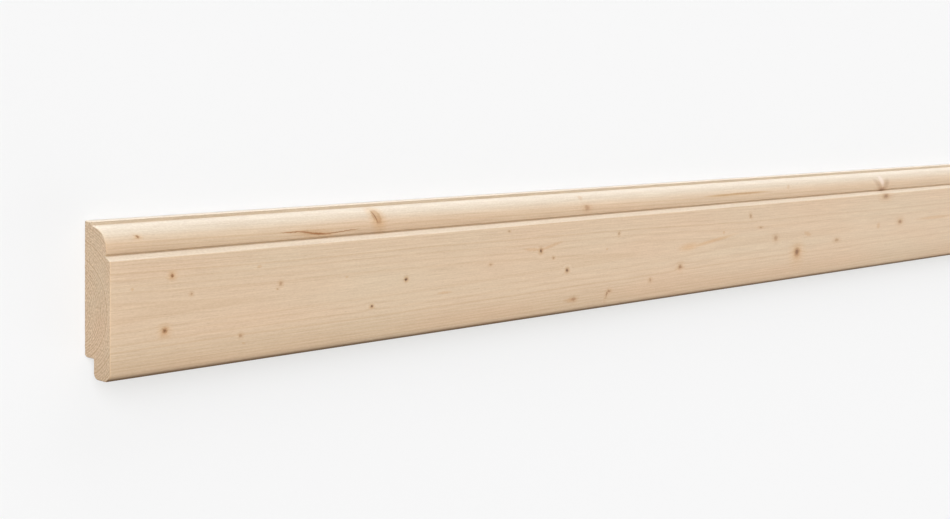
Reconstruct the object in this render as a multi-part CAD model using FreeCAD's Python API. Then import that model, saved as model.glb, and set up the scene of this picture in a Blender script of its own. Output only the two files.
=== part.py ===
# A length of moulded softwood skirting board, lying on its wall face with the show face up.
# X runs along the length, Y from the floor edge to the top edge, Z from the wall face to the show face.
# The origin is under the middle of the length, on the wall face.
import FreeCAD, Part
import math
import os

# Overall size of the length of stock
length = 2400.0
height = 70.0
thickness = 19.0

# Top of the section: a flat land at the back, a square step down, then the bead
land_depth = 5.6
step_drop = 1.8
land_back_radius = 0.9
land_front_radius = 0.6

# The bead is a quarter round that starts level at the step and turns a little under at its foot
bead_setback = 2.7
bead_undercut_degrees = 5.0

# The quirk is the narrow groove under the bead, and the chamfer leads from it out to the show face
quirk_depth = 1.0
quirk_drop = 1.0
chamfer_rise = 2.15
chamfer_arris_radius = 0.5

# Floor edge: the rebate behind the lip, and the rounded corners
rebate_depth = 6.7
rebate_height = 9.1
rebate_back_radius = 2.0
rebate_inner_radius = 0.4
toe_radius = 4.0
heel_radius = 3.0


def place(depth, rise):
    """A point of the section: depth from the wall face and rise from the floor edge, at the left end."""
    return FreeCAD.Vector(-length / 2, rise - height / 2, depth)


def on_circle(centre, radius, degrees):
    """A point on a circle in the section. 0 degrees faces the room and 90 degrees faces up the wall."""
    angle = math.radians(degrees)
    return (centre[0] + radius * math.cos(angle), centre[1] + radius * math.sin(angle))


def rounded(corner, before, after, radius):
    """The start, middle and end of the arc that rounds a corner between its two neighbours."""
    tip = FreeCAD.Vector(*corner, 0)
    back = (FreeCAD.Vector(*before, 0) - tip).normalize()
    ahead = (FreeCAD.Vector(*after, 0) - tip).normalize()
    half = back.getAngle(ahead) / 2
    reach = radius / math.tan(half)
    middle = (back + ahead).normalize()
    bulge = tip + middle * (radius / math.sin(half) - radius)
    return [tuple(point)[:2] for point in (tip + back * reach, bulge, tip + ahead * reach)]


# Places that the sizes lead to
bead_radius = thickness - land_depth - bead_setback
bead_centre = (land_depth, height - step_drop - bead_radius)
bead_front = thickness - bead_setback
bead_foot = on_circle(bead_centre, bead_radius, -bead_undercut_degrees)
bead_shoulder = on_circle(bead_centre, bead_radius, (90 - bead_undercut_degrees) / 2)
quirk = (bead_front - quirk_depth, bead_foot[1] - quirk_drop)
face_top = quirk[1] - chamfer_rise

# Corners of the section, with the radius that each is rounded to
lip_thickness = thickness - rebate_depth
lip_round = min(1.0, 0.95 * lip_thickness / (toe_radius + heel_radius))
land_back = (0.0, height)
land_front = (land_depth, height)
step_foot = (land_depth, height - step_drop)
chamfer_arris = (thickness, face_top)
toe = (thickness, 0.0)
heel = (rebate_depth, 0.0)
rebate_inner = (rebate_depth, rebate_height)
rebate_back = (0.0, rebate_height)

# The outline in order, clockwise from the back of the top land: each stop is one sharp corner, or an arc
# given by its start, middle and end
outline = [
    rounded(land_back, rebate_back, land_front, land_back_radius),
    rounded(land_front, land_back, step_foot, land_front_radius),
    [step_foot, bead_shoulder, bead_foot],
    [quirk],
    rounded(chamfer_arris, quirk, toe, chamfer_arris_radius),
    rounded(toe, chamfer_arris, heel, toe_radius * lip_round),
    rounded(heel, toe, rebate_inner, heel_radius * lip_round),
    rounded(rebate_inner, heel, rebate_back, rebate_inner_radius),
    rounded(rebate_back, rebate_inner, land_back, rebate_back_radius),
]


def section():
    """The closed face of the section: every arc, and the straight run from each stop to the next."""
    edges = []
    for stop, following in zip(outline, outline[1:] + outline[:1]):
        if len(stop) == 3:
            edges.append(Part.Arc(*(place(*point) for point in stop)).toShape())
        edges.append(Part.LineSegment(place(*stop[-1]), place(*following[0])).toShape())
    return Part.Face(Part.Wire(edges))


board = section().extrude(FreeCAD.Vector(length, 0, 0))

os.makedirs("parts", exist_ok=True)
board.exportStep("parts/skirting_board.step")
print("bead radius", round(bead_radius, 3), "top of the plain face", round(face_top, 3))
print("valid", board.isValid(), "volume in cubic mm", round(board.Volume), "box", board.BoundBox)
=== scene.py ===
import math
import bpy
from mathutils import Matrix, Vector


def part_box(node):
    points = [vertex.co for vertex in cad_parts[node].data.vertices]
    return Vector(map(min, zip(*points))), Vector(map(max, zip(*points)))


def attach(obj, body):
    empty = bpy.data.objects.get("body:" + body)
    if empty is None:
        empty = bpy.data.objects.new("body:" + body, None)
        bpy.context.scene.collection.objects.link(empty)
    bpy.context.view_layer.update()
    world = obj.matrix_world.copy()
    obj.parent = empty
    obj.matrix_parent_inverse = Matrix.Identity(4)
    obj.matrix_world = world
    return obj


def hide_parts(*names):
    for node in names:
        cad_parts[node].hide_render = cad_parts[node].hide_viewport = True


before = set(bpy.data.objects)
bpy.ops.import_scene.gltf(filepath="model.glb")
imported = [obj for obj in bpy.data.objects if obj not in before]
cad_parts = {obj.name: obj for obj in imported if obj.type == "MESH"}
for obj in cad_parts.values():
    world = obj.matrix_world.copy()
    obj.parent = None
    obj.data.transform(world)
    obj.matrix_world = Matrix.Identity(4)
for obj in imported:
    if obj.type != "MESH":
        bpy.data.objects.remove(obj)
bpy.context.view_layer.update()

# A length of planed softwood skirting board, lying on its wall face with the show face up.
# X runs along the board, Y from the floor edge to the top edge, and Z from the wall face to the show face.
# Places on the board are given in millimetres: along from the near end, rise from the floor edge and
# depth from the wall face.
mm = 0.001
low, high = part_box("skirting_board")
length = (high.x - low.x) / mm
height = (high.y - low.y) / mm
thickness = (high.z - low.z) / mm

# Top of the section: a flat land at the back, a square step down, then the bead
land_depth = 5.6
step_drop = 1.8
land_back_radius = 0.9
land_front_radius = 0.6
bead_setback = 2.7
bead_undercut_degrees = 5.0

# The quirk under the bead, and the chamfer from it out to the show face
quirk_depth = 1.0
quirk_drop = 1.0
chamfer_rise = 2.15
chamfer_arris_radius = 0.5

# Floor edge: the rebate behind the lip, and the rounded corners
rebate_depth = 6.7
rebate_height = 9.1
rebate_back_radius = 2.0
rebate_inner_radius = 0.4
toe_radius = 4.0
heel_radius = 3.0

# Spacing of the mesh: degrees along the rounds, and millimetres along the flats and down the board
arc_step_degrees = 9.0
flat_step = 1.1
row_step = 8.0

# Edges that turn by less than this are shaded smooth, and faces this nearly square to the board are its ends
smooth_below_degrees = 28.0
end_on_from = 0.999

# The cut ends are eased by hand, a little unevenly, and the wall face's arris is the most torn
ease_radius = 0.5
ease_rows = 4
ease_unevenness = 0.55
tear_size = 1.7
tear_seed = 3.0
tear_at_wall = 1.6
tear_at_front = 0.7
least_ease = 0.1

# Noise mostly stays within a quarter of its middle, and this spreads it to run from about -1 to 1
noise_spread = 4.0

# Growth rings: where the tree's pith runs, behind the wall face, and how the rings are spaced
pith_rise = 30.5
pith_depth = -7.0
ring_spacing = 1.2
trunk_taper = 0.004

# The pith wanders by this much, up the board and out of it, over such a length
wander_up = 0.9
wander_up_length = 240.0
wander_out = 0.7
wander_out_length = 310.0

# What else moves the rings: ripples, a knot close by, and runs of good and bad years
ring_ripple = 0.6
knot_push = 0.75
knot_push_reach = 5.0
ring_drift = 0.5
ring_drift_length = 5.0

# Late wood, as shares of a ring's width, and how strong it is in the faintest year
latewood_start = 0.45
latewood_full = 0.86
latewood_end = 0.90
least_latewood = 0.3

# Distance from the pith at which the marks' places round it are turned into millimetres
knot_reach = 30.0

# The photographed stretch of the board. The rest repeats it, every other stretch turned end for end.
stretch_length = 800.0

# Noises in the wood. Each has blobs this long down the board, this wide across it and this deep, in
# millimetres, and then its amount of finer detail. Those that are long are only dots on the sawn ends.
noises = {
    "fibre": (22.0, 0.5, 0.5, 2.0),
    "streak": (60.0, 1.6, 1.6, 2.0),
    "warmth": (120.0, 16.0, 16.0, 1.0),
    "ripple": (160.0, 8.0, 8.0, 1.0),
    "fleck": (3.5, 0.35, 0.35, 1.0),
    "mottle": (1.6, 0.6, 0.6, 1.0),
    "tear": (3.0, 1.1, 0.8, 1.0),
    "ragged_edge": (1.6, 1.6, 1.6, 3.0),
    "fine_edge": (0.7, 0.7, 0.7, 1.0),
    "saw_fuzz": (0.35, 0.35, 0.35, 2.0),
}

# How strongly the grain shades the wood, and how much of that goes to red, green and blue. Blue changes
# most, so darker fibres are browner.
fibre_shade = 0.42
streak_shade = 0.20
fleck_shade = 0.16
mottle_shade = 0.23
mottle_shade_in_sheen = 0.16
red_share = 0.68
green_share = 0.86

# How strong the rings are on the planed faces and on the sawn ends, where torn fibres break them up, and
# how torn and pale the ends are
ring_strength = 0.50
end_ring_strength = 0.35
end_ring_tearing = 1.4
end_ring_shade = 0.18
end_tear_at_wall = 1.5
end_paleness = 0.03

# How strong the painted sheen, highlight and shade of the moulding are. The painted shade towards the floor
# edge fades out this many millimetres up from it, and only this share of it is on the sawn ends.
painted_sheen_strength = 0.8
chamfer_highlight = 0.20
# Painted shade on the bead's foot, in the step and in the quirk
foot_shade = 0.38
step_shade = 0.75
quirk_shade = 0.5
floor_shade_reach = 20.0
floor_shade_on_ends = 0.5

# Colours of the wood. The early and the late wood make the rings, and the warm and the cool drift over them.
early_wood = (0.656, 0.500, 0.351, 1.0)
late_wood = (0.548, 0.367, 0.219, 1.0)
warm_wood = (0.666, 0.466, 0.314, 1.0)
cool_wood = (0.628, 0.495, 0.348, 1.0)
# The next two are painted light: sheen on the upper bead and the chamfer, and a highlight on the bead's
# crown, the land and the chamfer
sheen_painted_wood = (0.630, 0.537, 0.425, 1.0)
highlight_painted_wood = (0.875, 0.770, 0.640, 1.0)
pale_patch_wood = (0.800, 0.680, 0.620, 1.0)
pale_patch_strength = 0.55

# Tints that the wood is multiplied by: painted shade in the recesses, towards the floor edge and on the
# toe's rounding, and a slight tint on the eased arris
recess_shade_tint = (0.74, 0.69, 0.62, 1.0)
floor_shade_tint = (0.85, 0.81, 0.76, 1.0)
toe_shade_tint = (0.31, 0.26, 0.21, 1.0)
arris_tint = (1.0, 0.98, 0.95, 1.0)

# Relief of the surface, in millimetres
fibre_relief = 0.05
latewood_relief = 0.02
fleck_depth = 0.03
knot_depth = 0.06
saw_fuzz_height = 0.11

# Roughness of the planed wood, and what the rest adds to it
planed_roughness = 0.42
latewood_adds = -0.06
fibre_adds = 0.1
sawn_end_adds = 0.3
floor_edge_adds = 0.6

# The floor: its size, its tones in the view, as paint and as a faint glow, and the darker tone that the
# board sees, so that little light comes back from below
floor_half_metres = 20.0
floor_paint = (0.320, 0.323, 0.342, 1.0)
floor_glow = (0.600, 0.597, 0.578, 1.0)
floor_below_board = (0.15, 0.15, 0.15, 1.0)

# The surroundings: their tone in the view, and how strongly they light the board
surroundings_tone = (0.92, 0.92, 0.92, 1.0)
surroundings_light = 0.12

# The camera, which stands where the photograph's perspective puts it
camera_place = (-1.63802, 0.11354, 0.62320)
camera_lens = 64.42
camera_turn = -48.137
camera_tip = -6.995
camera_roll = 1.606


class Value:
    """A socket that Python expressions can work on. Each operator adds the Math node that it stands for."""

    def __init__(self, tree, socket):
        self.tree = tree
        self.socket = socket

    def __add__(self, other):
        return self.tree.maths("ADD", self, other)

    def __sub__(self, other):
        return self.tree.maths("SUBTRACT", self, other)

    def __rsub__(self, other):
        return self.tree.maths("SUBTRACT", other, self)

    def __mul__(self, other):
        return self.tree.maths("MULTIPLY", self, other)

    def __truediv__(self, other):
        return self.tree.maths("DIVIDE", self, other)

    def __rtruediv__(self, other):
        return self.tree.maths("DIVIDE", other, self)

    def __gt__(self, other):
        return self.tree.maths("GREATER_THAN", self, other)

    def __lt__(self, other):
        return self.tree.maths("LESS_THAN", self, other)

    __radd__ = __add__
    __rmul__ = __mul__


class Tree:
    """A node tree of a material or of Geometry Nodes, built from expressions and the node method."""

    def __init__(self, node_tree):
        self.node_tree = node_tree

    def node(self, kind, settings=(), inputs=(), output=0):
        """Adds a node: its settings first, then the value or link of each input. Gives one output."""
        made = self.node_tree.nodes.new(kind)
        for name, setting in dict(settings).items():
            if name == "stops":
                self.set_stops(made.color_ramp, setting)
            else:
                setattr(made, name, setting)
        for name, given in dict(inputs).items():
            if isinstance(given, Value):
                self.node_tree.links.new(given.socket, made.inputs[name])
            else:
                made.inputs[name].default_value = given
        return Value(self, made.outputs[output]) if made.outputs else None

    def set_stops(self, ramp, stops):
        """Gives a ramp its stops, each a place and a colour."""
        while len(ramp.elements) < len(stops):
            ramp.elements.new(0.5)
        for element, (place, colour) in zip(ramp.elements, stops):
            element.position = place
            element.color = (*colour, 1.0)

    def maths(self, operation, *operands):
        """Adds a Math node."""
        return self.node("ShaderNodeMath", {"operation": operation}, enumerate(operands))

    def least(self, values):
        """The smallest of several values."""
        found = values[0]
        for value in values[1:]:
            found = self.maths("MINIMUM", found, value)
        return found

    def vector(self, x, y, z):
        """A vector of three numbers."""
        return self.node("ShaderNodeCombineXYZ", (), {"X": x, "Y": y, "Z": z})

    def parts(self, vector):
        """The three numbers of a vector."""
        first = self.node("ShaderNodeSeparateXYZ", (), {0: vector})
        sockets = first.socket.node.outputs
        return [Value(self, sockets[axis]) for axis in range(3)]

    def rising(self, value, start, end, low_value=0.0, high_value=1.0):
        """Runs smoothly from one value to the other while the input goes from start to end."""
        inputs = {0: value, 1: start, 2: end, 3: low_value, 4: high_value}
        return self.node("ShaderNodeMapRange", {"interpolation_type": "SMOOTHSTEP"}, inputs)

    def noise(self, place, detail, scale=1.0):
        """Smooth noise from about 0 to 1, its middle at 0.5."""
        inputs = {"Vector": place, "Scale": scale, "Detail": detail, "Roughness": 0.55}
        return self.node("ShaderNodeTexNoise", {"noise_dimensions": "3D"}, inputs)

    def drift(self, distance, seed):
        """Smooth noise along one distance, from about -1 to 1."""
        inputs = {"W": distance + seed, "Scale": 1.0, "Detail": 1.0}
        return self.node("ShaderNodeTexNoise", {"noise_dimensions": "1D"}, inputs) * 2.0 - 1.0

    def mix(self, blend, factor, first, second):
        """Mixes two colours."""
        inputs = {0: factor, 6: first, 7: second}
        settings = {"data_type": "RGBA", "blend_type": blend}
        return self.node("ShaderNodeMix", settings, inputs, output=2)


def emptied_tree(owner):
    """The node tree of a material or of the world, with nothing in it yet."""
    owner.use_nodes = True
    owner.node_tree.nodes.clear()
    return Tree(owner.node_tree)


def placed(name, data):
    """A new object in the scene."""
    made = bpy.data.objects.new(name, data)
    bpy.context.scene.collection.objects.link(made)
    return made


# Shape of the section

def on_circle(centre, radius, degrees):
    """A point of the section: 0 degrees faces the room and 90 degrees faces up the wall."""
    angle = math.radians(degrees)
    return Vector((centre[0] + radius * math.cos(angle), centre[1] + radius * math.sin(angle)))


def arc(centre, radius, start_degrees, end_degrees):
    """Points along an arc, both ends included."""
    turn = end_degrees - start_degrees
    steps = math.ceil(abs(turn) / arc_step_degrees)
    return [on_circle(centre, radius, start_degrees + turn * n / steps) for n in range(steps + 1)]


def rounded(corner, before, after, radius):
    """The arc that rounds a corner between its two neighbours."""
    tip = Vector(corner)
    back = (Vector(before) - tip).normalized()
    ahead = (Vector(after) - tip).normalized()
    half = back.angle(ahead) / 2
    centre = tip + (back + ahead).normalized() * (radius / math.sin(half))
    start = tip + back * (radius / math.tan(half)) - centre
    end = tip + ahead * (radius / math.tan(half)) - centre
    steps = math.ceil(math.degrees(start.angle(end)) / arc_step_degrees)
    return [centre + start.slerp(end, n / steps).normalized() * radius for n in range(steps + 1)]


bead_radius = thickness - land_depth - bead_setback
bead_centre = (land_depth, height - step_drop - bead_radius)
bead_front = thickness - bead_setback
bead_foot = on_circle(bead_centre, bead_radius, -bead_undercut_degrees)
quirk = (bead_front - quirk_depth, bead_foot[1] - quirk_drop)
face_top = quirk[1] - chamfer_rise
toe_start = thickness - toe_radius


def section_outline():
    """The closed outline as points of depth and rise, clockwise from the back of the top land."""
    land_back = (0.0, height)
    land_front = (land_depth, height)
    step_foot = (land_depth, height - step_drop)
    chamfer_arris = (thickness, face_top)
    toe = (thickness, 0.0)
    heel = (rebate_depth, 0.0)
    rebate_inner = (rebate_depth, rebate_height)
    rebate_back = (0.0, rebate_height)
    stops = [
        rounded(land_back, rebate_back, land_front, land_back_radius),
        rounded(land_front, land_back, step_foot, land_front_radius),
        arc(bead_centre, bead_radius, 90.0, -bead_undercut_degrees),
        [Vector(quirk)],
        rounded(chamfer_arris, quirk, toe, chamfer_arris_radius),
        rounded(toe, chamfer_arris, heel, toe_radius),
        rounded(heel, toe, rebate_inner, heel_radius),
        rounded(rebate_inner, heel, rebate_back, rebate_inner_radius),
        rounded(rebate_back, rebate_inner, land_back, rebate_back_radius),
    ]
    points = []
    for stop, following in zip(stops, stops[1:] + stops[:1]):
        run = following[0] - stop[-1]
        steps = max(1, round(run.length / flat_step))
        points += stop
        points += [stop[-1] + run * n / steps for n in range(1, steps)]
    return points


def section_mesh():
    """The outline as a closed loop of edges, drawn flat: X is across the board and Y is its depth."""
    points = section_outline()
    corners = [((rise - height / 2) * mm, depth * mm, 0.0) for depth, rise in points]
    edges = [(n, (n + 1) % len(points)) for n in range(len(points))]
    mesh = bpy.data.meshes.new("section")
    mesh.from_pydata(corners, edges, [])
    return mesh


# The sweep of the section along the board, by Geometry Nodes

def stored(tree, geometry, name, kind, domain, value):
    """The geometry with a value kept on it under a name."""
    settings = {"data_type": kind, "domain": domain}
    inputs = {"Geometry": geometry, "Name": name, "Value": value}
    return tree.node("GeometryNodeStoreNamedAttribute", settings, inputs)


def recalled(tree, name, kind):
    """A value that was kept on the geometry."""
    return tree.node("GeometryNodeInputNamedAttribute", {"data_type": kind}, {"Name": name})


def outline_curve(tree, section):
    """The section as a curve that knows its own place and which way is out of the wood."""
    outline = tree.node("GeometryNodeMeshToCurve", (), {"Mesh": section})
    heading = tree.parts(tree.node("GeometryNodeInputTangent"))
    outwards = tree.vector(heading[1], heading[0] * -1.0, 0.0)
    outline = stored(tree, outline, "outwards", "FLOAT_VECTOR", "POINT", outwards)
    position = tree.node("GeometryNodeInputPosition")
    return stored(tree, outline, "in_section", "FLOAT_VECTOR", "POINT", position)


def rows_line(tree, takes):
    """A point for each row, which knows its place along the board and how far its section draws in.

    The first and the last few rows turn over the eased arris, and the rest are evenly spaced.
    """
    line = tree.node("GeometryNodeCurvePrimitiveLine", (), {"Start": (0, 0, 0), "End": (0, 0, 1)})
    line = tree.node("GeometryNodeResampleCurve", (), {"Curve": line, "Count": takes["Rows"]})
    index = tree.node("GeometryNodeInputIndex")
    last = takes["Rows"] - 1.0
    from_end = tree.maths("MINIMUM", index, last - index)
    side = (index > last / 2.0) * 2.0 - 1.0
    turned = tree.maths("MINIMUM", from_end / takes["Ease Rows"], 1.0) * (math.pi / 2)
    radius = takes["Ease Radius"]
    spacing = (takes["Length"] / 2.0 - radius) / (last / 2.0 - takes["Ease Rows"])
    beyond = tree.maths("MAXIMUM", from_end - takes["Ease Rows"], 0.0) * spacing
    distance = radius * (1.0 - tree.maths("COSINE", turned)) + beyond
    eased = radius * (1.0 - tree.maths("SINE", turned))
    line = stored(tree, line, "along", "FLOAT", "POINT", side * (takes["Length"] / 2.0 - distance))
    return stored(tree, line, "eased", "FLOAT", "POINT", eased)


def eased_sweep(tree, line, outline, takes):
    """The section swept along the rows, each point at its place, a little inside where the end is eased."""
    inputs = {"Curve": line, "Profile Curve": outline, "Fill Caps": True}
    board = tree.node("GeometryNodeCurveToMesh", (), inputs)
    along = recalled(tree, "along", "FLOAT")
    across, depth, _ = tree.parts(recalled(tree, "in_section", "FLOAT_VECTOR"))
    out_across, out_depth, _ = tree.parts(recalled(tree, "outwards", "FLOAT_VECTOR"))
    tear_place = tree.vector(along + takes["Seed"], across, depth)
    tear = tree.noise(tear_place, 2.0, 1.0 / takes["Tear Size"]) - 0.5
    near_wall = tree.rising(depth, 0.0, land_depth / 2 * mm, tear_at_wall, tear_at_front)
    unevenness = tear * noise_spread * takes["Unevenness"] * near_wall + 1.0
    inset = recalled(tree, "eased", "FLOAT") * tree.maths("MAXIMUM", unevenness, least_ease)
    place = tree.vector(along, across - out_across * inset, depth - out_depth * inset)
    return tree.node("GeometryNodeSetPosition", (), {"Geometry": board, "Position": place})


def marked_and_shaded(tree, board, takes):
    """The board with marks for its material on the sawn ends and on their arris, and with crisp corners."""
    end_on = tree.maths("ABSOLUTE", tree.parts(tree.node("GeometryNodeInputNormal"))[0])
    sawn = end_on > end_on_from
    reach = tree.maths("ABSOLUTE", tree.parts(tree.node("GeometryNodeInputPosition"))[0])
    arris = reach > takes["Length"] / 2.0 - takes["Ease Radius"]
    board = stored(tree, board, "sawn_end", "FLOAT", "FACE", sawn)
    board = stored(tree, board, "arris", "FLOAT", "FACE", arris * (1.0 - sawn))
    bend = tree.node("GeometryNodeInputMeshEdgeAngle", output="Unsigned Angle")
    smooth = {"EDGE": bend < math.radians(smooth_below_degrees), "FACE": sawn < 0.5}
    for domain, where in smooth.items():
        inputs = {"Geometry": board, "Shade Smooth": where}
        board = tree.node("GeometryNodeSetShadeSmooth", {"domain": domain}, inputs)
    return board


def moulding_sweep():
    """A node group that sweeps a section along the board and eases its two cut ends."""
    group = bpy.data.node_groups.new("moulding_sweep", "GeometryNodeTree")
    inputs = {
        "Section": "NodeSocketGeometry",
        "Length": "NodeSocketFloat",
        "Rows": "NodeSocketInt",
        "Ease Radius": "NodeSocketFloat",
        "Ease Rows": "NodeSocketInt",
        "Unevenness": "NodeSocketFloat",
        "Tear Size": "NodeSocketFloat",
        "Seed": "NodeSocketFloat",
        "Finish": "NodeSocketMaterial",
    }
    for name, kind in inputs.items():
        group.interface.new_socket(name, in_out="INPUT", socket_type=kind)
    group.interface.new_socket("Board", in_out="OUTPUT", socket_type="NodeSocketGeometry")
    tree = Tree(group)
    given = tree.node("NodeGroupInput")
    takes = {socket.name: Value(tree, socket) for socket in given.socket.node.outputs}
    outline = outline_curve(tree, takes["Section"])
    board = eased_sweep(tree, rows_line(tree, takes), outline, takes)
    board = marked_and_shaded(tree, board, takes)
    for name in ("outwards", "in_section", "along", "eased"):
        board = tree.node("GeometryNodeRemoveAttribute", (), {"Geometry": board, "Name": name})
    board = tree.node("GeometryNodeRealizeInstances", (), {"Geometry": board})
    board = tree.node("GeometryNodeSetMaterial", (), {"Geometry": board, "Material": takes["Finish"]})
    tree.node("NodeGroupOutput", (), {"Board": board})
    return group


def made_board(finish):
    """The board as one plain mesh, swept by the node group from the section."""
    board = placed("planed_board", section_mesh())
    sweep = board.modifiers.new("sweep", "NODES")
    sweep.node_group = moulding_sweep()
    sizes = {
        "Length": length * mm,
        "Rows": 2 * (ease_rows + round(length / 2 / row_step)) + 1,
        "Ease Radius": ease_radius * mm,
        "Ease Rows": ease_rows,
        "Unevenness": ease_unevenness,
        "Tear Size": tear_size * mm,
        "Seed": tear_seed,
        "Finish": finish,
    }
    for socket in sweep.node_group.interface.items_tree:
        if socket.name in sizes:
            sweep[socket.identifier] = sizes[socket.name]
    bpy.context.view_layer.update()
    evaluated = board.evaluated_get(bpy.context.evaluated_depsgraph_get())
    mesh = bpy.data.meshes.new_from_object(evaluated)
    board.modifiers.remove(sweep)
    board.data = mesh
    return board


# Marks in the wood. A knot grew straight out from the pith, so each is placed by how far along the board
# it is and how far round the pith, and it shows on every face that it reaches.

def turn_at(depth, rise):
    """How far round the pith a point of the section lies, as millimetres of arc at the knots' reach."""
    return knot_reach * math.atan2(rise - pith_rise, depth - pith_depth)


def on_face(along, rise, half_length, half_width, tilt=0.0):
    """A mark on the show face: its middle, its half sizes and its tilt in degrees."""
    upper = turn_at(thickness, rise + half_width)
    lower = turn_at(thickness, rise - half_width)
    return along, turn_at(thickness, rise), half_length, (upper - lower) / 2, tilt


def on_bead(along, degrees, half_length, half_width, tilt=0.0):
    """A mark on the bead, placed round it by degrees: 0 faces the room and 90 faces up the wall."""
    spread = math.degrees(half_width / bead_radius)
    upper = turn_at(*on_circle(bead_centre, bead_radius, degrees + spread))
    lower = turn_at(*on_circle(bead_centre, bead_radius, degrees - spread))
    middle = turn_at(*on_circle(bead_centre, bead_radius, degrees))
    return along, middle, half_length, (upper - lower) / 2, tilt


def along_bead(start, start_degrees, end, end_degrees, half_width):
    """A thin stroke on the bead from one place to another."""
    rise_by = turn_at(*on_circle(bead_centre, bead_radius, end_degrees))
    rise_by -= turn_at(*on_circle(bead_centre, bead_radius, start_degrees))
    tilt = math.degrees(math.atan2(rise_by, end - start))
    middle = on_bead((start + end) / 2, (start_degrees + end_degrees) / 2, 1.0, half_width)
    return middle[0], middle[1], math.hypot(rise_by, end - start) / 2, middle[3], tilt


marks = {
    "warm_band": [
        on_face(436.0, 31.0, 12.0, 2.8, 3.0),
        on_face(460.0, 32.8, 30.0, 1.3, 7.0),
    ],
    "faint_mark": [
        on_face(11.6, 40.5, 0.8, 0.6),
        on_face(84.5, 45.1, 1.2, 0.6),
        on_face(75.5, 9.7, 0.9, 0.5),
        on_face(141.5, 35.5, 0.9, 0.5),
        along_bead(110.0, 9.0, 134.0, 1.0, 1.6),
        on_face(213.0, 21.6, 4.6, 0.6),
        on_face(284.5, 39.5, 6.5, 0.75, -5.0),
        on_face(300.0, 40.4, 8.5, 0.75, 11.0),
        on_face(319.0, 8.0, 5.0, 0.9),
        on_bead(333.3, 50.0, 2.0, 1.4, 20.0),
        on_face(352.2, 35.3, 0.9, 0.5),
        on_face(474.2, 37.5, 1.2, 0.8),
        on_bead(556.4, 34.0, 2.2, 1.1, 20.0),
        on_face(577.0, 30.5, 4.0, 1.3, -15.0),
        on_face(675.0, 30.5, 2.2, 2.0),
        on_face(762.0, 32.0, 24.0, 1.2),
    ],
    "small_knot": [
        on_face(44.4, 35.6, 0.8, 0.7),
        on_face(73.7, 13.5, 1.0, 0.9),
        on_face(98.0, 35.9, 1.1, 1.0),
        on_face(96.2, 33.5, 0.6, 0.4),
        on_face(249.2, 33.8, 1.2, 0.6),
        on_face(263.7, 51.0, 1.1, 0.5),
        on_face(322.1, 8.2, 2.0, 1.2),
        on_face(302.9, 33.6, 0.9, 0.7),
        on_bead(335.8, 15.0, 2.4, 1.6),
        on_face(363.2, 43.6, 1.0, 1.0),
        on_face(396.3, 13.3, 1.3, 1.1),
        on_face(504.6, 46.6, 1.6, 1.1, -25.0),
        on_face(517.4, 38.4, 1.8, 0.6, -5.0),
        on_face(536.4, 30.0, 2.4, 1.8, -30.0),
        on_face(616.5, 23.8, 3.0, 1.1),
    ],
    "brown_knot": [
        on_face(353.3, 8.5, 1.4, 0.9, 50.0),
        on_face(355.4, 10.1, 1.5, 0.7),
        on_face(427.2, 19.1, 1.8, 1.4),
        on_bead(682.5, -5.0, 4.0, 1.2),
        on_face(683.8, 51.6, 4.0, 1.9),
        on_face(707.3, 31.6, 2.8, 1.4),
    ],
    "dark_knot": [
        on_bead(17.3, 31.0, 0.9, 0.6),
        on_face(33.4, 44.7, 0.9, 0.8),
        on_face(29.4, 20.3, 1.2, 1.1),
        on_face(564.1, 18.9, 2.9, 2.6),
    ],
    "pin_knot": [
        on_face(159.2, 19.2, 1.0, 0.8),
        on_face(183.7, 31.0, 1.1, 0.9),
        on_face(291.5, 38.3, 1.2, 1.2),
        on_face(315.4, 25.5, 1.3, 1.2),
    ],
    "resin_streak": [
        along_bead(101.0, 12.0, 115.0, 12.0, 0.25),
        along_bead(112.0, 12.0, 123.0, 4.0, 0.30),
        along_bead(117.0, 6.5, 130.5, 0.0, 0.50),
        along_bead(128.0, 0.5, 141.0, 3.5, 0.22),
        along_bead(137.0, 3.0, 151.0, 6.5, 0.20),
    ],
    "golden_streak": [
        along_bead(462.0, 20.0, 494.0, 20.5, 0.55),
        along_bead(480.0, 21.0, 504.0, 21.6, 0.55),
        along_bead(486.0, 20.5, 522.0, 21.5, 0.50),
    ],
    "oval_knot": [on_bead(166.2, 40.0, 2.7, 4.0, 12.0)],
    "oval_knot_rim": [on_bead(165.0, 40.0, 0.45, 4.2, 12.0)],
    "patch_lobe": [
        along_bead(673.0, 30.0, 681.5, 2.0, 2.6),
        along_bead(685.5, 4.0, 693.5, 30.0, 2.6),
    ],
    "pale_patch": [on_bead(683.5, 34.0, 3.0, 4.5)],
}

# These kinds keep a crisp outline, and the others a ragged one
crisp_kinds = ("resin_streak", "golden_streak", "oval_knot_rim")

# The rings bend round these kinds, and the hard ones are planed a little hollow
ring_bending_kinds = ("dark_knot", "pin_knot", "brown_knot", "oval_knot")
hard_kinds = ("dark_knot", "pin_knot")

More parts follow.
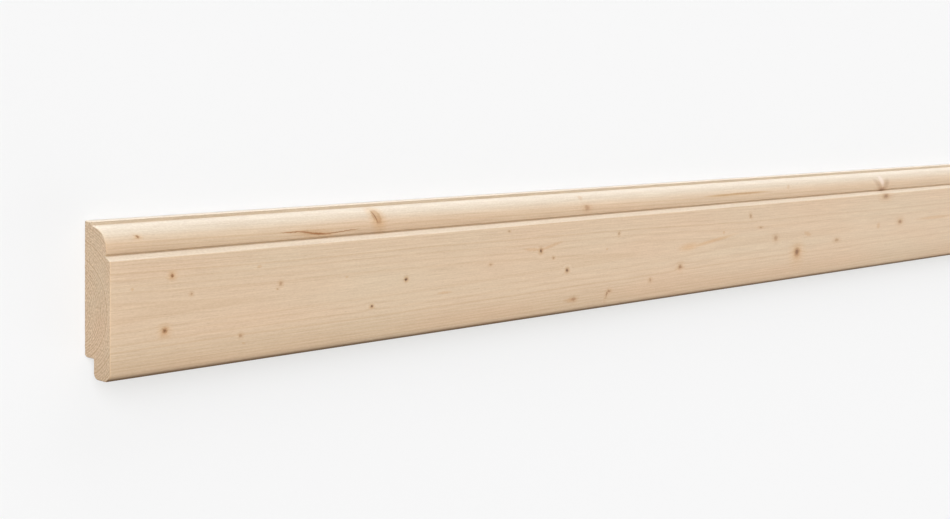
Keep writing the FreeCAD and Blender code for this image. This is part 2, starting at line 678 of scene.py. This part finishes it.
# How each kind tints the wood, in the order that they are laid on: how many times its own half size it
# reaches, and its tint at each share of that, from its middle outwards
untinted = (1.0, 1.0, 1.0)
tints = {
    "warm_band": (1.2, [
        (0.0, (0.955, 0.83, 0.70)),
        (0.4, (0.975, 0.89, 0.79)),
        (1.0, untinted),
    ]),
    "faint_mark": (3.0, [
        (0.0, (0.93, 0.84, 0.75)),
        (0.25, (0.94, 0.86, 0.78)),
        (0.5, untinted),
    ]),
    "small_knot": (4.0, [
        (0.0, (0.66, 0.54, 0.44)),
        (0.15, (0.74, 0.63, 0.53)),
        (0.3, (0.94, 0.89, 0.84)),
        (0.7, untinted),
    ]),
    "brown_knot": (4.0, [
        (0.0, (0.50, 0.36, 0.26)),
        (0.12, (0.60, 0.46, 0.35)),
        (0.25, (0.85, 0.76, 0.67)),
        (0.45, (0.97, 0.93, 0.89)),
        (0.9, untinted),
    ]),
    "dark_knot": (5.0, [
        (0.0, (0.32, 0.20, 0.12)),
        (0.09, (0.40, 0.27, 0.17)),
        (0.18, (0.72, 0.55, 0.40)),
        (0.30, (0.915, 0.81, 0.70)),
        (0.5, (0.985, 0.945, 0.895)),
        (0.9, untinted),
    ]),
    "pin_knot": (3.0, [
        (0.0, (0.16, 0.10, 0.06)),
        (0.15, (0.22, 0.14, 0.09)),
        (0.32, (0.80, 0.68, 0.56)),
        (0.55, (0.96, 0.91, 0.85)),
        (0.9, untinted),
    ]),
    "resin_streak": (3.0, [
        (0.0, (0.50, 0.33, 0.18)),
        (0.25, (0.62, 0.45, 0.30)),
        (0.5, untinted),
    ]),
    "golden_streak": (3.0, [
        (0.0, (0.68, 0.53, 0.34)),
        (0.22, (0.82, 0.70, 0.53)),
        (0.6, untinted),
    ]),
    "oval_knot": (3.0, [
        (0.0, (0.82, 0.67, 0.50)),
        (0.30, (0.74, 0.58, 0.42)),
        (0.42, (0.94, 0.85, 0.74)),
        (0.9, untinted),
    ]),
    "oval_knot_rim": (2.0, [
        (0.0, (0.45, 0.32, 0.21)),
        (0.3, (0.62, 0.48, 0.36)),
        (0.6, untinted),
    ]),
    "patch_lobe": (1.6, [
        (0.0, (0.74, 0.67, 0.63)),
        (0.5, (0.86, 0.81, 0.78)),
        (1.0, untinted),
    ]),
}


def distance_to(tree, place, mark):
    """How far a place is from the middle of a mark, as 1 on its edge."""
    along, turn, half_length, half_width, tilt = mark
    cosine, sine = math.cos(math.radians(tilt)), math.sin(math.radians(tilt))
    lengthways = (cosine / half_length, sine / half_length)
    sideways = (-sine / half_width, cosine / half_width)
    shares = []
    for share in (lengthways, sideways):
        offset = -(share[0] * along + share[1] * turn)
        inputs = {0: place, 1: (*share, offset)}
        shares.append(tree.node("ShaderNodeVectorMath", {"operation": "DOT_PRODUCT"}, inputs, "Value"))
    inputs = {0: tree.vector(*shares, 0.0)}
    return tree.node("ShaderNodeVectorMath", {"operation": "LENGTH"}, inputs, "Value")


# The material

class Softwood:
    """Planed softwood: what it looks like at each point of the board, from the point's place on it."""

    def __init__(self, tree):
        self.tree = tree
        x, y, z = tree.parts(tree.node("ShaderNodeTexCoord", output="Object"))
        self.along = x / mm + length / 2
        self.rise = y / mm + height / 2
        self.depth = z / mm

        # What the mesh carries: 1 on the sawn ends, and 1 on the eased arris round them
        self.sawn = tree.node("ShaderNodeAttribute", {"attribute_name": "sawn_end"}, (), "Fac")
        self.arris = tree.node("ShaderNodeAttribute", {"attribute_name": "arris"}, (), "Fac")
        self.moulded = 1.0 - self.sawn

        self.fibre = self.noise("fibre")
        self.fleck = tree.rising(self.noise("fleck"), 0.16, 0.30)
        self.tear = self.noise("tear")
        self.distance = self.distance_to_marks()
        self.latewood = self.latewood_lines()

    def noise(self, name):
        """One of the noises in the wood, its middle at 0."""
        long, wide, deep, detail = noises[name]
        place = self.tree.vector(self.along / long, self.rise / wide, self.depth / deep)
        return self.tree.noise(place, detail) - 0.5

    def near(self, place, start, end):
        """1 close to a place in the section, falling to 0 from the start to the end of the distance."""
        up = self.rise - place[1]
        out = self.depth - place[0]
        return self.tree.rising(self.tree.maths("SQRT", up * up + out * out), start, end, 1.0, 0.0)

    def distance_to_marks(self):
        """The distance to the nearest mark of each kind, looked up in the photographed stretch."""
        tree = self.tree
        stretch = tree.maths("FLOOR", self.along / stretch_length)
        turned_round = tree.maths("COMPARE", stretch, 1.0, 0.5)
        within = self.along - stretch * stretch_length
        within = within + turned_round * (stretch_length - within * 2.0)
        turn = tree.maths("ARCTAN2", self.rise - pith_rise, self.depth - pith_depth) * knot_reach
        turn = turn * (1.0 - turned_round * 2.0)
        ragged = self.noise("ragged_edge")
        fine = self.noise("fine_edge")
        ragged_place = tree.vector(within + ragged * 1.5 + fine, turn + ragged * 1.1 - fine * 0.8, 1.0)
        crisp_place = tree.vector(within, turn + ragged * 0.4, 1.0)
        found = {}
        for kind, places in marks.items():
            looked_up = crisp_place if kind in crisp_kinds else ragged_place
            found[kind] = tree.least([distance_to(tree, looked_up, mark) for mark in places])
        return found

    def latewood_lines(self):
        """The late wood of each growth ring, from 0 to 1. The rings are pushed outwards round a knot."""
        tree = self.tree
        to_knot = tree.least([self.distance[kind] for kind in ring_bending_kinds])
        push = tree.rising(to_knot, 0.0, knot_push_reach, knot_push, 0.0)
        wander_rise = tree.drift(self.along / wander_up_length, seed=3.0) * wander_up
        wander_depth = tree.drift(self.along / wander_out_length, seed=11.0) * wander_out
        up = self.rise - pith_rise - wander_rise
        out = self.depth - pith_depth - wander_depth
        radius = tree.maths("SQRT", up * up + out * out)
        radius = radius + self.along * trunk_taper + self.noise("ripple") * ring_ripple + push
        rings = radius / ring_spacing + tree.drift(radius / ring_drift_length, seed=20.0) * ring_drift
        year = tree.maths("FLOOR", rings)
        share = rings - year
        chance = tree.node("ShaderNodeTexWhiteNoise", {"noise_dimensions": "1D"}, {"W": year})
        strength = chance * (1.0 - least_latewood) + least_latewood
        line = tree.rising(share, latewood_start, latewood_full)
        return line * (1.0 - tree.rising(share, latewood_end, 1.0)) * strength

    def tones(self):
        """How strong each tone of the moulding is here: the painted sheen, the painted highlight and the
        painted shade.

        The painted sheen is on the upper bead and the chamfer, and the painted highlight on the bead's
        crown, on the land and faintly on the chamfer. Painted shade lies in the step, in the quirk and on
        the bead's foot.
        Faint painted shade lies towards the floor edge, and darker painted shade on the rounding of the toe.
        """
        tree = self.tree
        up = self.rise - bead_centre[1]
        degrees_round = tree.maths("ARCTAN2", up, self.depth - bead_centre[0]) * (180.0 / math.pi)
        foot = tree.rising(degrees_round, -14.0, -6.0) * tree.rising(degrees_round, 0.0, 45.0, 1.0, 0.0)
        crown = tree.rising(degrees_round, 40.0, 78.0) * tree.rising(self.depth, 0.0, 1.2)
        chamfer = tree.rising(self.rise, face_top - 0.1, face_top + 0.3) * (self.rise < quirk[1])
        below_land = tree.rising(self.rise, height - 0.5, height - 0.1, 1.0, 0.0)
        in_step = self.near((land_depth, height - step_drop / 2), 0.85, 1.2) * below_land
        in_quirk = self.near(quirk, 0.2, 1.2)
        floor_shade = tree.rising(self.rise, 0.0, floor_shade_reach, 1.0, 0.0)
        on_toe = tree.rising(self.depth, toe_start + 0.2, toe_start + 1.6)
        return {
            # Painted sheen on the upper bead and the chamfer
            "painted_sheen": (tree.rising(degrees_round, 12.0, 50.0) + chamfer) * painted_sheen_strength,
            # Painted highlight on the bead's crown, the land and faintly the chamfer
            "painted_highlight": crown * (1.0 - in_step) + chamfer * chamfer_highlight,
            # Painted shade in the step, the quirk and on the bead's foot
            "painted_recess_shade": foot * foot_shade + in_step * step_shade + in_quirk * quirk_shade,
            # Painted shade, darker towards the floor edge
            "floor_edge": floor_shade * (1.0 - self.sawn * (1.0 - floor_shade_on_ends)),
            # Painted shade on the rounding of the toe
            "painted_toe_shade": tree.rising(self.rise, 0.6, 2.7, 1.0, 0.0) * on_toe,
        }

    def grain_shade(self, painted_sheen):
        """How the grain lightens and darkens the wood.

        The fine mottle is strongest where the sheen is painted, and the sawn ends show torn fibres and ring
        lines.
        """
        tree = self.tree
        mottle = self.noise("mottle") * (painted_sheen * mottle_shade_in_sheen + mottle_shade)
        grain = self.fibre * fibre_shade + self.noise("streak") * streak_shade + mottle
        grain = grain - self.fleck * fleck_shade
        torn = self.tear * tree.rising(self.depth, 2.0, 9.0, end_tear_at_wall, 1.0)
        grain = grain + self.sawn * (torn - self.latewood * end_ring_shade + end_paleness)
        return tree.vector(grain * red_share + 1.0, grain * green_share + 1.0, grain + 1.0)

    def marked(self, colour):
        """A colour with the marks of every kind laid over it."""
        tree = self.tree
        for kind, (reach, stops) in tints.items():
            inputs = {"Fac": self.distance[kind] / reach}
            tint = tree.node("ShaderNodeValToRGB", {"stops": stops}, inputs)
            colour = tree.mix("MULTIPLY", 1.0, colour, tint)
        pale_patch = tree.rising(self.distance["pale_patch"], 0.3, 1.3, pale_patch_strength, 0.0)
        return tree.mix("MIX", pale_patch, colour, pale_patch_wood)

    def colour(self):
        """The finished colour, from the bare wood to the marks and the arris."""
        tree = self.tree
        tone = self.tones()
        moulded = self.moulded
        warmth = self.noise("warmth") * 2.4 + 0.5
        end_rings = self.sawn * (self.tear * end_ring_tearing + end_ring_strength)
        colour = tree.mix("MIX", warmth, cool_wood, warm_wood)
        colour = tree.mix("MIX", 0.5, colour, early_wood)
        colour = tree.mix("MIX", self.latewood * (end_rings + ring_strength), colour, late_wood)
        # Painted sheen on the upper bead and the chamfer
        colour = tree.mix("MIX", tone["painted_sheen"] * moulded, colour, sheen_painted_wood)
        # Painted highlight on the bead's crown, the land and the chamfer
        colour = tree.mix("MIX", tone["painted_highlight"] * moulded, colour, highlight_painted_wood)
        colour = tree.mix("MULTIPLY", 1.0, colour, self.grain_shade(tone["painted_sheen"]))
        # Painted shade in the step, the quirk and on the bead's foot
        colour = tree.mix("MULTIPLY", tone["painted_recess_shade"] * moulded, colour, recess_shade_tint)
        # Painted shade, darker towards the floor edge
        colour = tree.mix("MULTIPLY", tone["floor_edge"], colour, floor_shade_tint)
        # Painted shade on the rounding of the toe
        colour = tree.mix("MULTIPLY", tone["painted_toe_shade"] * moulded, colour, toe_shade_tint)
        return tree.mix("MULTIPLY", self.arris, self.marked(colour), arris_tint)

    def relief(self):
        """Height in millimetres: the fibres, the proud late wood, the hollows and the fuzz of the saw."""
        to_hard = self.tree.least([self.distance[kind] for kind in hard_kinds])
        hollow = self.tree.rising(to_hard, 0.5, 1.4, knot_depth, 0.0) + self.fleck * fleck_depth
        fuzz = self.sawn * self.noise("saw_fuzz") * saw_fuzz_height
        return self.fibre * fibre_relief + self.latewood * latewood_relief - hollow + fuzz

    def roughness(self):
        """Smoothest on the planed late wood, and roughest on the floor edge and the sawn ends."""
        floor_edge = self.tree.rising(self.rise, 1.0, toe_radius, 1.0, 0.0)
        grain = self.latewood * latewood_adds + self.fibre * fibre_adds
        return grain + self.sawn * sawn_end_adds + floor_edge * floor_edge_adds + planed_roughness


def planed_softwood():
    """The board's one material: planed faces and sawn ends, with rings, fibres, knots and resin."""
    material = bpy.data.materials.new("planed_softwood")
    tree = emptied_tree(material)
    wood = Softwood(tree)
    bump = {"Strength": 1.0, "Distance": mm, "Height": wood.relief()}
    inputs = {
        "Base Color": wood.colour(),
        "Roughness": wood.roughness(),
        "Normal": tree.node("ShaderNodeBump", (), bump),
        "Specular IOR Level": 0.5,
    }
    surface = tree.node("ShaderNodeBsdfPrincipled", (), inputs)
    tree.node("ShaderNodeOutputMaterial", (), {"Surface": surface})
    return material


# Floor, light and camera

def background_mix(tree, lit, shown):
    """What the camera, gloss and glass see instead of what lights the board."""
    rays = tree.node("ShaderNodeLightPath")
    outputs = rays.socket.node.outputs
    seen = Value(tree, outputs["Is Camera Ray"])
    for name in ("Is Glossy Ray", "Is Transmission Ray"):
        seen = tree.maths("MAXIMUM", seen, Value(tree, outputs[name]))
    return tree.node("ShaderNodeMixShader", (), {0: seen, 1: lit, 2: shown})


def pale_floor():
    """A wide pale floor. It glows a little to the camera, and still shows the board's shadow."""
    half = floor_half_metres
    mesh = bpy.data.meshes.new("floor")
    corners = [(-half, -half, 0), (half, -half, 0), (half, half, 0), (-half, half, 0)]
    mesh.from_pydata(corners, [], [(0, 1, 2, 3)])
    material = bpy.data.materials.new("pale_floor")
    tree = emptied_tree(material)
    dim = tree.node("ShaderNodeBsdfDiffuse", (), {"Color": floor_below_board})
    paint = tree.node("ShaderNodeBsdfDiffuse", (), {"Color": floor_paint})
    glow = tree.node("ShaderNodeEmission", (), {"Color": floor_glow, "Strength": 1.0})
    shown = tree.node("ShaderNodeAddShader", (), {0: paint, 1: glow})
    tree.node("ShaderNodeOutputMaterial", (), {"Surface": background_mix(tree, dim, shown)})
    mesh.materials.append(material)
    placed("floor", mesh)


def pale_surroundings():
    """Faint light from all round, and the same pale tone as the floor behind everything."""
    world = bpy.data.worlds.new("surroundings")
    bpy.context.scene.world = world
    tree = emptied_tree(world)
    lit = tree.node("ShaderNodeBackground", (), {"Color": (1, 1, 1, 1), "Strength": surroundings_light})
    shown = tree.node("ShaderNodeBackground", (), {"Color": surroundings_tone, "Strength": 1.0})
    tree.node("ShaderNodeOutputWorld", (), {"Surface": background_mix(tree, lit, shown)})


def soft_light(name, towards_light, strength, spread_degrees):
    """Wide even light from one side. A strength of 1 shows a facing colour as it is written.

    It makes no highlight of its own: the sheen on the board comes from the pale surroundings and from the
    sheen and highlight painted into the wood's colour.
    """
    lamp = bpy.data.lights.new(name, "SUN")
    lamp.energy = strength * math.pi
    lamp.angle = math.radians(spread_degrees)
    holder = placed(name, lamp)
    holder.visible_glossy = False
    holder.rotation_euler = Vector(towards_light).to_track_quat("Z", "Y").to_euler()


def camera():
    """The photograph's view: the board runs away to the right and a little up."""
    data = bpy.data.cameras.new("camera")
    data.sensor_width = 36.0
    data.lens = camera_lens
    holder = placed("camera", data)
    turn = Matrix.Rotation(math.radians(camera_turn), 3, "Y")
    tip = Matrix.Rotation(math.radians(camera_tip), 3, "X")
    roll = Matrix.Rotation(math.radians(camera_roll), 3, "Z")
    holder.rotation_euler = (turn @ tip @ roll).to_euler()
    holder.location = camera_place
    bpy.context.scene.camera = holder


board = made_board(planed_softwood())
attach(board, "root")
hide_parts("skirting_board")

pale_floor()
pale_surroundings()
soft_light("from_the_near_end", (-0.68, 0.33, 0.66), 1.17, 52.0)
soft_light("from_the_top_edge", (0.35, 0.94, 0.0), 0.75, 60.0)
soft_light("from_the_far_corner", (0.72, -0.69, 0.0), 0.72, 60.0)
camera()
bpy.context.scene.view_settings.view_transform = "Standard"
